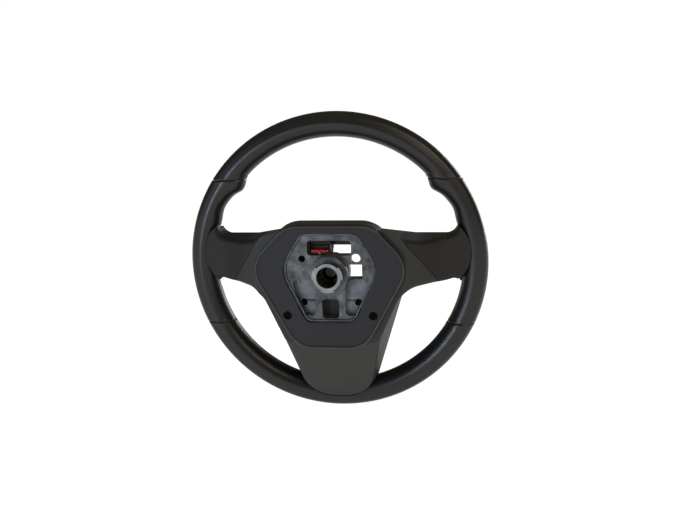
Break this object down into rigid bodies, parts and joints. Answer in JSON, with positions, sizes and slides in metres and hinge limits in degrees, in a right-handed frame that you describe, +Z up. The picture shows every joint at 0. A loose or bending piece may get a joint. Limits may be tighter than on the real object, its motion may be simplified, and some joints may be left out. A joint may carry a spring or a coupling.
{
  "type": "car steering wheel",
  "caption": "Three-spoke leather car steering wheel with a cast hub open for the airbag module, a splined hub bush, rear covers and spoke switch pods.",
  "frame": {"origin": "on the steering axis at the mouth of the hub bush's bore", "axes": "+Y along the steering axis towards the column, +Z up, +X to the driver's right"},
  "size_m": [0.37, 0.1014, 0.37],
  "materials": {
    "leather": "fine grain, satin",
    "cast_alloy": "as cast, matt",
    "machined_steel": "turned",
    "plated_steel": "zinc plated",
    "grained_plastic": "grained",
    "smooth_plastic": "fine satin",
    "black_plastic": "matt",
    "red_plastic": "satin",
    "tinned_brass": "tinned",
    "dark_screw": "black oxide",
    "circuit_board": "lacquered",
    "grey_rubber": "matt",
    "key_plastic": "soft touch"
  },
  "bodies": {
    "wheel": {"armature": "cast_alloy", "hub_bush": "machined_steel", "centre_bolt": "plated_steel", "leather_rim": "leather", "hub_back_cover": "grained_plastic", "cover_screws": "dark_screw", "spoke_back_shell": "smooth_plastic", "lower_spoke_front_trim": "smooth_plastic", "connector_housing": "black_plastic", "connector_pins": "tinned_brass", "connector_lock": "red_plastic", "airbag_guide_sockets": "black_plastic", "horn_contact_carrier": "black_plastic", "left_spoke_back_trim": "smooth_plastic", "left_switch_bezel": "smooth_plastic", "left_switch_housing": "black_plastic", "left_switch_board": "circuit_board", "right_spoke_back_trim": "smooth_plastic", "right_switch_bezel": "smooth_plastic", "right_switch_housing": "black_plastic", "right_switch_board": "circuit_board"},
    "left_upper_inner_key": {"left_upper_inner_key": "key_plastic"},
    "left_upper_outer_key": {"left_upper_outer_key": "key_plastic"},
    "left_lower_inner_key": {"left_lower_inner_key": "key_plastic"},
    "left_lower_outer_key": {"left_lower_outer_key": "key_plastic"},
    "left_thumb_wheel": {"left_thumb_wheel": "grey_rubber"},
    "right_upper_inner_key": {"right_upper_inner_key": "key_plastic"},
    "right_upper_outer_key": {"right_upper_outer_key": "key_plastic"},
    "right_lower_inner_key": {"right_lower_inner_key": "key_plastic"},
    "right_lower_outer_key": {"right_lower_outer_key": "key_plastic"},
    "right_thumb_wheel": {"right_thumb_wheel": "grey_rubber"}
  },
  "joints": [
    {"name": "left_upper_inner_key_press", "type": "slide", "parent": "wheel", "child": "left_upper_inner_key", "axis": [0, 1, 0], "range_m": [0, 0.0015], "stiffness_N_per_m": 300},
    {"name": "left_upper_outer_key_press", "type": "slide", "parent": "wheel", "child": "left_upper_outer_key", "axis": [0, 1, 0], "range_m": [0, 0.0015], "stiffness_N_per_m": 300},
    {"name": "left_lower_inner_key_press", "type": "slide", "parent": "wheel", "child": "left_lower_inner_key", "axis": [0, 1, 0], "range_m": [0, 0.0015], "stiffness_N_per_m": 300},
    {"name": "left_lower_outer_key_press", "type": "slide", "parent": "wheel", "child": "left_lower_outer_key", "axis": [0, 1, 0], "range_m": [0, 0.0015], "stiffness_N_per_m": 300},
    {"name": "left_thumb_wheel_roll", "type": "hinge", "parent": "wheel", "child": "left_thumb_wheel", "pos_m": [-0.1195, -0.0912, 0.008], "axis": [1, 0, 0], "range_deg": [-15, 15], "stiffness_Nm_per_rad": 0.02},
    {"name": "right_upper_inner_key_press", "type": "slide", "parent": "wheel", "child": "right_upper_inner_key", "axis": [0, 1, 0], "range_m": [0, 0.0015], "stiffness_N_per_m": 300},
    {"name": "right_upper_outer_key_press", "type": "slide", "parent": "wheel", "child": "right_upper_outer_key", "axis": [0, 1, 0], "range_m": [0, 0.0015], "stiffness_N_per_m": 300},
    {"name": "right_lower_inner_key_press", "type": "slide", "parent": "wheel", "child": "right_lower_inner_key", "axis": [0, 1, 0], "range_m": [0, 0.0015], "stiffness_N_per_m": 300},
    {"name": "right_lower_outer_key_press", "type": "slide", "parent": "wheel", "child": "right_lower_outer_key", "axis": [0, 1, 0], "range_m": [0, 0.0015], "stiffness_N_per_m": 300},
    {"name": "right_thumb_wheel_roll", "type": "hinge", "parent": "wheel", "child": "right_thumb_wheel", "pos_m": [0.1195, -0.0912, 0.008], "axis": [1, 0, 0], "range_deg": [-15, 15], "stiffness_Nm_per_rad": 0.02}
  ]
}
